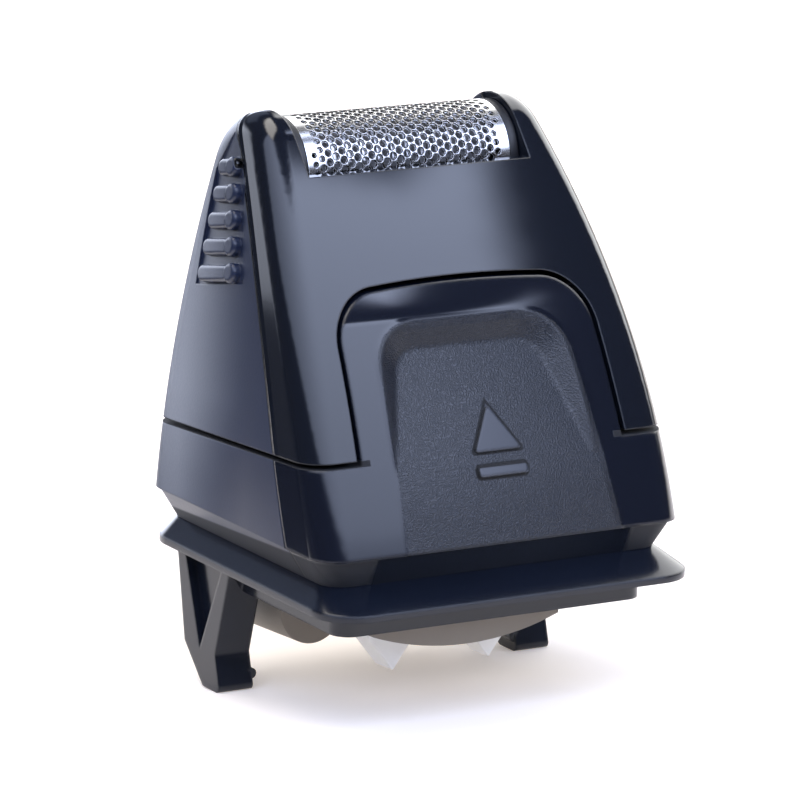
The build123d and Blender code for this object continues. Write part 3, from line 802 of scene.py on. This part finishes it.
@dataclass
class FoilSheet:
    """Perforated foil: a thin sheet bent over the head's axis with straight flanks."""

    axis_y: float = 5.5
    axis_z: float = 36.3
    radius: float = 4.85
    flank: float = 2.9
    half_length: float = 10.4
    thickness: float = 0.15
    pitch: float = 0.83
    turn: float = math.radians(4.3)
    hole_radius: float = 0.31
    end_radius: float = 0.19
    rim: float = 0.09
    rim_depth: float = 0.05
    rim_up: float = 0.6
    rim_in: float = 0.8
    end_margin: float = 0.72
    end_fade: float = 1.8
    edge_margin: float = 0.75
    filler_step: float = 0.4
    filler_inset: float = 0.35
    filler_gap: float = 0.62
    inside_share: float = 0.97
    weld: float = 1e-7
    across_points: int = 61
    along_points: int = 31
    sides: int = 12

    @property
    def half_arc(self) -> float:
        """Half the sheet's developed width in millimetres."""
        return self.radius * math.pi / 2 + self.flank

    def holes(self) -> list[tuple[float, float, float]]:
        """Lays out the holes on the flat sheet.

        Returns:
            Along, across and radius of each hole in millimetres.
        """
        row_step = self.pitch / 2
        column_step = self.pitch * math.sqrt(3) / 2
        c, s = math.cos(self.turn), math.sin(self.turn)
        found = []
        reach = int(2 * (self.half_length + self.half_arc) / row_step)
        for column in range(-reach, reach + 1):
            for row in range(-reach, reach + 1):
                if (column + row) % 2:
                    continue
                u, v = column * column_step, row * row_step
                along, across = u * c - v * s, u * s + v * c
                from_end = self.half_length - self.end_margin - abs(along)
                if from_end < 0 or abs(across) > self.half_arc - self.edge_margin:
                    continue
                share = min(1.0, from_end / self.end_fade)
                radius = self.end_radius + (self.hole_radius - self.end_radius) * share
                found.append((along, across, radius))
        return found

    def bend(self, flat: np.ndarray, depth: np.ndarray) -> tuple[np.ndarray, np.ndarray]:
        """Bends flat points over the head's axis.

        Args:
            flat: Along and across of each point in millimetres.
            depth: Depth below the outer face in millimetres.

        Returns:
            Places in metres and outward normals.
        """
        quarter = self.radius * math.pi / 2
        across = flat[:, 1]
        angle = np.clip(across, -quarter, quarter) / self.radius
        drop = np.maximum(np.abs(across) - quarter, 0)
        normal = np.column_stack([np.zeros(len(flat)), np.sin(angle), np.cos(angle)])
        place = normal * (self.radius - depth)[:, None]
        place[:, 0] = flat[:, 0]
        place[:, 1] += self.axis_y
        place[:, 2] += self.axis_z - drop
        return place * MM, normal

    def build(self) -> Object:
        """Builds the sheet's mesh with every hole open.

        Returns:
            The new object.
        """
        ring = np.arange(self.sides) * 2 * math.pi / self.sides
        circle = np.column_stack([np.cos(ring), np.sin(ring)])
        holes = self.holes()
        border = self.border()
        points = [tuple(p) for p in border]
        edges = [(i, (i + 1) % len(border)) for i in range(len(border))]
        loops: list[list[int]] = []
        for along, across, radius in holes:
            first = len(points)
            points += [tuple(p) for p in circle * (radius + self.rim) + (along, across)]
            loop = [first + i for i in range(self.sides)]
            loops.append(loop)
            edges += [(loop[i], loop[(i + 1) % self.sides]) for i in range(self.sides)]
        points += self.filler(holes)
        # Output type 0 fills the whole outline, so triangles in the holes are left out below.
        out = delaunay_2d_cdt([Vector(p) for p in points], edges, [], 0, self.weld)
        flat = np.array([tuple(p) for p in out[0]])
        hole_at = np.array([h[:2] for h in holes])
        hole_reach = np.array([h[2] + self.rim for h in holes])
        faces = []
        for face in out[2]:
            middle = flat[list(face)].mean(0)
            gap = np.hypot(*(hole_at - middle).T) - hole_reach * self.inside_share
            if gap.min() > 0:
                faces.append(tuple(face))
        return self.solid(flat, faces, holes, len(border), loops)

    def border(self) -> np.ndarray:
        """Gives the sheet's outline, with points where it bends.

        Returns:
            Along and across of each outline point.
        """
        across = np.linspace(-self.half_arc, self.half_arc, self.across_points)
        along = np.linspace(-self.half_length, self.half_length, self.along_points)[1:-1]
        right = np.column_stack([np.full_like(across, self.half_length), across])
        top = np.column_stack([along[::-1], np.full_like(along, self.half_arc)])
        left = np.column_stack([np.full_like(across, -self.half_length), across[::-1]])
        bottom = np.column_stack([along, np.full_like(along, -self.half_arc)])
        return np.vstack([right, top, left, bottom])

    def filler(self, holes: list[tuple[float, float, float]]) -> list[tuple[float, float]]:
        """Adds points on the plain margins, so that they bend smoothly.

        Args:
            holes: The holes' places.

        Returns:
            Extra points in the margins.
        """
        hole_at = np.array([h[:2] for h in holes])
        extra = []
        inset, step = self.filler_inset, self.filler_step
        for along in np.arange(-self.half_length + inset, self.half_length, step):
            for across in np.arange(-self.half_arc + inset, self.half_arc, step):
                gap = np.hypot(*(hole_at - (along, across)).T).min()
                if gap > self.filler_gap:
                    extra.append((float(along), float(across)))
        return extra

    def solid(
        self,
        flat: np.ndarray,
        faces: list[tuple[int, ...]],
        holes: list[tuple[float, float, float]],
        border_count: int,
        loops: list[list[int]],
    ) -> Object:
        """Gives the flat sheet its thickness, rims and bend.

        Args:
            flat: Flat points.
            faces: Triangles between the holes.
            holes: The holes' places and radii.
            border_count: Number of outline points.
            loops: Points around each hole.

        Returns:
            The new object.
        """
        count = len(flat)
        inner = flat.copy()
        for (along, across, radius), loop in zip(holes, loops):
            inner[loop] = (flat[loop] - (along, across)) * radius / (radius + self.rim) + (along, across)
        ring_flat = np.vstack([inner[loop] for loop in loops])
        outer_at, outer_n = self.bend(flat, np.zeros(count))
        inner_at, inner_n = self.bend(inner, np.full(count, self.thickness))
        ring_at, ring_n = self.bend(ring_flat, np.full(len(ring_flat), self.rim_depth))
        polygons = [tuple(f) for f in faces]
        polygons += [tuple(i + count for i in reversed(f)) for f in faces]
        for index, loop in enumerate(loops):
            first = 2 * count + index * self.sides
            for i in range(self.sides):
                j = (i + 1) % self.sides
                polygons.append((loop[j], loop[i], first + i, first + j))
                polygons.append((first + j, first + i, loop[i] + count, loop[j] + count))
        for i in range(border_count):
            j = (i + 1) % border_count
            polygons.append((i, j, j + count, i + count))
        mesh = bpy.data.meshes.new("perforated_foil")
        places = np.vstack([outer_at, inner_at, ring_at])
        mesh.from_pydata(places.tolist(), [], polygons)
        mesh.polygons.foreach_set("use_smooth", [True] * len(mesh.polygons))
        # The formed rims are rounded, so the rim ring's normal leans into the hole.
        centres = np.repeat([h[:2] for h in holes], self.sides, axis=0)
        centre_at, _ = self.bend(centres, np.full(len(centres), self.rim_depth))
        inward = centre_at - ring_at
        inward /= np.linalg.norm(inward, axis=1)[:, None]
        ring_n = ring_n * self.rim_up + inward * self.rim_in
        normals = np.vstack([outer_n, -inner_n, ring_n])
        mesh.normals_split_custom_set_from_vertices(normals.tolist())
        mesh.update()
        LOG.info("piece perforated_foil: %d holes, %d faces", len(holes), len(polygons))
        return place("perforated_foil", mesh)

    def dress(self) -> None:
        """Builds the sheet, gives it its finish and puts it in the CAD foil's place."""
        sheet = self.build()
        # Electroformed foil is bright and nearly mirror-like, with slight streaks along its length.
        bright = Steel("electroformed_foil_bright", Slot.FOIL_STEEL, "#ececee", 0.2, 0.05, (0.3, 3.0, 3.0))
        sheet.data.materials.append(bright.material())
        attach(sheet, Body.CAP.value)
        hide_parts("shaver_foil")


@dataclass
class Casing:
    """Cap, front panel, base shell and coupling frame."""

    form: CasingForm

    def dress(self) -> None:
        """Gives the casing's nodes their finishes."""
        # Polished ABS reflects like dark glass; its satin sides spread the same light.
        shell = TwoFinishShell("moulded_abs_navy", Slot.GLOSS_NAVY, self.form)
        dress(["foil_cap", "base_shell"], shell)
        # The spark-eroded pad breaks the reflection into fine grey specks.
        dress(["front_panel"], PadPanel("moulded_abs_pad", Slot.GLOSS_NAVY, self.form))
        # A semi-gloss moulding shows broad dim highlights along its edges.
        navy = Moulding(
            "moulded_frame_navy",
            Slot.FRAME_NAVY,
            "#0f131d",
            "#131823",
            0.17,
            spread=0.04,
            depth=0.003,
            ior=1.46,
            edge=0.4,
        )
        dress(["coupling_frame"], navy)


@dataclass
class CutterSpring:
    """Open coil round a guide pin, which in the real head shortens as the cutter floats down; this coil
    rides with the slider at one length.
    """

    side: str
    x: float
    y: float = 5.5
    foot_z: float = 27.35
    head_z: float = 29.95
    radius: float = 1.6
    wire: float = 0.35
    turns: int = 4
    fixed_z: float = 27.0
    travel: float = 0.7
    steps: int = 160
    sides: int = 12

    def build(self) -> Object:
        """Sweeps the round wire along its coil.

        Returns:
            The new object.
        """
        turn = np.linspace(0, 2 * math.pi * self.turns, self.steps + 1)
        rise = (self.head_z - self.foot_z) / turn[-1]
        flat = np.zeros(len(turn))
        outward = np.column_stack([np.cos(turn), np.sin(turn), flat])
        along = np.column_stack([-self.radius * np.sin(turn), self.radius * np.cos(turn), flat + rise])
        upward = np.cross(outward, along / np.linalg.norm(along, axis=1)[:, None])
        middle = outward * self.radius + (self.x, self.y, self.foot_z)
        middle[:, 2] += rise * turn
        ring = (np.arange(self.sides) * 2 * math.pi / self.sides)[None, :, None]
        spread = np.cos(ring) * outward[:, None] + np.sin(ring) * upward[:, None]
        places = (middle[:, None] + spread * self.wire / 2).reshape(-1, 3) * MM
        last = range(self.steps * self.sides, len(places))
        polygons = [tuple(range(self.sides)), tuple(reversed(last))]
        for i in range(self.steps):
            for j in range(self.sides):
                here, there = i * self.sides, (i + 1) * self.sides
                k = (j + 1) % self.sides
                polygons.append((here + j, there + j, there + k, here + k))
        mesh = bpy.data.meshes.new(f"spring_coil_{self.side}")
        mesh.from_pydata(places.tolist(), [], polygons)
        mesh.polygons.foreach_set("use_smooth", [len(p) == 4 for p in polygons])
        LOG.info("piece %s: %d faces", mesh.name, len(polygons))
        return place(mesh.name, mesh)

    def dress(self, finish: Steel) -> None:
        """Builds the coil, gives it its finish and puts it in the CAD spring's place.

        Args:
            finish: Finish of the wire.
        """
        coil = self.build()
        coil.data.materials.append(finish.material())
        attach(coil, Body.SLIDER.value)
        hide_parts(f"cutter_spring_{self.side}")
        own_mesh(coil)


@dataclass
class Mechanism:
    """Foil frame, chassis, drive and cutter inside the casing."""

    pin_x: float = 6.0

    def dress(self) -> None:
        """Gives the inner nodes their finishes."""
        # Moulded PBT has a dull, slightly warm and uneven surface. Its ivory is painted much darker than it
        # is, as painted shade for its place under the casing.
        ivory = Moulding("moulded_pbt_ivory", Slot.HOUSING_IVORY, "#7a7268", "#837b71", 0.5)
        # Natural acetal lets light in a little, which makes its thin edges milky.
        white = Moulding(
            "natural_acetal",
            Slot.SLIDE_WHITE,
            "#eeeeec",
            "#f2f2f0",
            0.35,
            spread=0.05,
            grain=0.4,
            depth=0.003,
            ior=1.48,
            glow=0.5,
        )
        # Black and grey mouldings from a grained tool show soft, dim highlights.
        black = Moulding("moulded_frame_black", Slot.FRAME_BLACK, "#18181b", "#1e1e22", 0.45)
        grey = Moulding("moulded_carrier_grey", Slot.CARRIER_GREY, "#77777a", "#808083", 0.45)
        # Soft rubber is matt.
        rubber = ("#5a5a5d", "#626265")
        seal = Moulding("moulded_seal_rubber", Slot.SEAL_GREY, *rubber, 0.75, grain=0.2, depth=0.006)
        # Stamped strip keeps the rolling marks along its length; a ground rod is evenly bright.
        strip = Steel("stamped_strip_steel", Slot.STRIP_STEEL, "#cacace", 0.28, 0.06, (0.4, 8.0, 8.0))
        rod = Steel("ground_rod_steel", Slot.ROD_STEEL, "#cfcfd2", 0.2, 0.05, (6.0, 6.0, 6.0))
        by_slot = {f.slot.value: f for f in (ivory, white, black, grey, seal, strip, rod)}
        for slot_name, names in self.nodes_by_slot(by_slot).items():
            dress(names, by_slot[slot_name])
        # Cold-drawn spring wire is bright, with fine drawing marks.
        wire = Steel("drawn_spring_wire", Slot.ROD_STEEL, "#c4c4c8", 0.25, 0.05, (6.0, 6.0, 6.0))
        for side, x in (("left", -self.pin_x), ("right", self.pin_x)):
            CutterSpring(side, x).dress(wire)

    def nodes_by_slot(self, finishes: dict[str, Finish]) -> dict[str, list[str]]:
        """Groups the record's nodes by the slot each takes.

        Args:
            finishes: Finish of each slot that is dressed here.

        Returns:
            Node names under each slot.
        """
        groups: dict[str, list[str]] = {}
        for part in frame["record"]["subparts"]:
            name, slot = part["node"], part["material_slot"]
            if slot in finishes:
                groups.setdefault(slot, []).append(name)
        return groups


@dataclass(frozen=True)
class Scrim:
    """A lit cloth that curves round the part between two bearings and two heights, in degrees.

    The east cut slants its right edge, at one angle from the part's middle plane, the east drop
    lowers its upper edge on the right, and the west lift raises its foot on the left.
    """

    name: str
    west: float
    east: float
    foot: float
    head: float
    radiance: float
    colour: str = "#ffffff"
    west_share: float = 1.0
    foot_share: float = 1.0
    feather: float = 3.0
    east_cut: float = 90.0
    east_drop: float = 0.0
    west_lift: float = 0.0
    drop_start: float = 28.0
    drop_span: float = 18.0
    lift_end: float = 20.0
    lift_span: float = 90.0
    thin: float = 0.2
    radius: float = 0.8
    steps: int = 48

    def level(self, azimuth: float, elevation: float) -> float:
        """Works out the share of full light at one point.

        Args:
            azimuth: Bearing of the point.
            elevation: Height of the point.

        Returns:
            Share of the cloth's radiance, 0 outside it.
        """
        dropped = min(1.0, max(0.0, (azimuth - self.drop_start) / self.drop_span))
        lifted = min(1.0, max(0.0, (self.lift_end - azimuth) / self.lift_span))
        head = self.head - self.east_drop * dropped
        foot = self.foot + self.west_lift * lifted
        inside = min(azimuth - self.west, self.east - azimuth, elevation - foot, head - elevation)
        inside = min(inside, self.east_cut - math.degrees(math.asin(heading(azimuth, elevation).x)))
        edge = min(1.0, max(0.0, inside / self.feather))
        along = (azimuth - self.west) / (self.east - self.west)
        up = (elevation - self.foot) / (self.head - self.foot)
        across = self.west_share + (1 - self.west_share) * along
        return edge * across * (self.foot_share + (1 - self.foot_share) * up)

    def build(self, target: Vector) -> None:
        """Hangs the cloth.

        Args:
            target: Point that it curves round, in metres.
        """
        bearings = np.linspace(self.west, self.east, self.steps)
        heights = np.linspace(self.foot, self.head, self.steps)
        spots = [(a, e) for a in bearings for e in heights]
        places = [target + heading(a, e) * self.radius for a, e in spots]
        cells = [i * self.steps + j for i in range(self.steps - 1) for j in range(self.steps - 1)]
        faces = [(k, k + 1, k + 1 + self.steps, k + self.steps) for k in cells]
        mesh = bpy.data.meshes.new(self.name)
        mesh.from_pydata(places, [], faces)
        shares = mesh.attributes.new("level", "FLOAT", "POINT")
        shares.data.foreach_set("value", [self.level(a, e) for a, e in spots])
        cloth = blank_material(self.name)
        tree = cloth.node_tree
        share = Field(tree, add_node(tree, "ShaderNodeAttribute", attribute_name="level").outputs["Fac"])
        glow = {"Color": linear(self.colour), "Strength": share * self.radiance}
        lit = add_node(tree, "ShaderNodeEmission", glow).outputs[0]
        # The cloth thins out where it is unlit, so that the room shows through and not a black edge.
        veil = share.band(0.0, self.thin).colours((1.0, 1.0, 1.0, 1.0), (0.0, 0.0, 0.0, 1.0))
        clear = add_node(tree, "ShaderNodeBsdfTransparent", {"Color": veil}).outputs[0]
        both = add_node(tree, "ShaderNodeAddShader", {0: clear, 1: lit}).outputs[0]
        add_node(tree, "ShaderNodeOutputMaterial", {"Surface": both})
        mesh.materials.append(cloth)
        made = place(self.name, mesh)
        LOG.info("light %s", self.name)


@dataclass
class Studio:
    """White floor, lit cloths and the camera."""

    target: Vector
    floor_z: float
    camera_azimuth: float = -31.0
    camera_elevation: float = 11.0
    camera_distance: float = 0.5338
    lens: float = 270.0
    sensor: float = 36.0
    nearest: float = 0.01
    farthest: float = 20.0
    room: str = "#4a4a4b"
    paper: str = "#f7efe5"
    glow: str = "#fff3e8"
    glow_strength: float = 0.22
    floor_reach: float = 2.0
    white_front: float = 48.0
    white_left: float = 74.0
    fade: float = 45.0

    def build(self) -> None:
        """Builds the whole studio."""
        self.world()
        self.floor()
        self.lights()
        self.camera()

    def world(self) -> None:
        """Fills the room with dim light."""
        world = bpy.data.worlds.new("studio_room")
        bpy.context.scene.world = world
        world.use_nodes = True
        tree = world.node_tree
        tree.nodes.clear()
        room = add_node(tree, "ShaderNodeBackground", {"Color": linear(self.room), "Strength": 1.0})
        add_node(tree, "ShaderNodeOutputWorld", {"Surface": room.outputs[0]})

    def floor(self) -> None:
        """Lays a white floor that keeps the shadow and turns grey in front and on the left, out of view."""
        reach = self.floor_reach
        corners = [(-reach, -reach), (reach, -reach), (reach, reach), (-reach, reach)]
        mesh = bpy.data.meshes.new("floor")
        mesh.from_pydata([(x, y, self.floor_z) for x, y in corners], [], [(0, 1, 2, 3)])
        made = place("floor", mesh)
        cover = blank_material("studio_paper")
        tree = cover.node_tree
        at = Coordinates.of(tree)
        toward = heading(self.camera_azimuth, 0.0)
        ahead = at.x * toward.x + at.y * toward.y
        left = at.x * toward.y - at.y * toward.x
        grey = ahead.band(self.white_front, self.white_front + self.fade)
        grey = grey.math("MAXIMUM", left.band(self.white_left, self.white_left + self.fade))
        paint = grey.colours(linear(self.paper), linear(self.room))
        diffuse = add_node(tree, "ShaderNodeBsdfDiffuse", {"Color": paint})
        shine = {"Color": linear(self.glow), "Strength": grey.between(self.glow_strength, 0.0)}
        lit = add_node(tree, "ShaderNodeEmission", shine)
        both = add_node(tree, "ShaderNodeAddShader", {0: diffuse.outputs[0], 1: lit.outputs[0]})
        add_node(tree, "ShaderNodeOutputMaterial", {"Surface": both.outputs[0]})
        mesh.materials.append(cover)

    def lights(self) -> None:
        """Hangs the scrims round the part."""
        fades = {"west_share": 0.35, "foot_share": 0.48, "feather": 4.0}
        cuts = {"east_cut": 38.5, "east_drop": 10.0, "west_lift": 10.0}
        rear = {"west_share": 3.3, "foot_share": 0.32, "feather": 6.0}
        # Each has its west, east, foot and head in degrees, then its radiance and colour.
        scrims = [
            Scrim("front_scrim", -108, 78, 12, 62, 8.8, "#d0dcfb", **fades, **cuts),
            Scrim("front_head", 60, 84, 60.5, 70, 8.0, "#d0dcfb", feather=2.5),
            Scrim("rear_scrim", 152, 221, -9, 24, 3.1, "#e6edff", **rear),
            Scrim("rear_upper_scrim", 155, 205, 26, 46, 0.5, "#d2e0ff"),
            Scrim("rear_right_scrim", 95, 152, 1, 56, 3.2, feather=6.0),
            Scrim("top_scrim", 165, 290, 57, 89, 5.5, "#fffaf4", feather=5.0),
        ]
        for scrim in scrims:
            scrim.build(self.target)

    def camera(self) -> None:
        """Sets the camera that matches the view."""
        data = bpy.data.cameras.new("camera")
        data.lens, data.sensor_width = self.lens, self.sensor
        data.clip_start, data.clip_end = self.nearest, self.farthest
        made = place("camera", data)
        outward = heading(self.camera_azimuth, self.camera_elevation)
        made.location = self.target + outward * self.camera_distance
        made.rotation_euler = (self.target - made.location).to_track_quat("-Z", "Y").to_euler()
        bpy.context.scene.camera = made


def main() -> None:
    """Builds and dresses every piece, then the studio."""
    logging.basicConfig(level=logging.INFO, format="%(message)s")
    bpy.context.scene.view_settings.view_transform = "Standard"
    form = CasingForm()
    Casing(form).dress()
    Mechanism().dress()
    FoilSheet().dress()
    lowest = min(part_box(name)[0].z for name in frame["nodes"])
    Studio(Vector(VIEW_CENTRE) * MM, lowest).build()


if __name__ == "__main__":
    main()
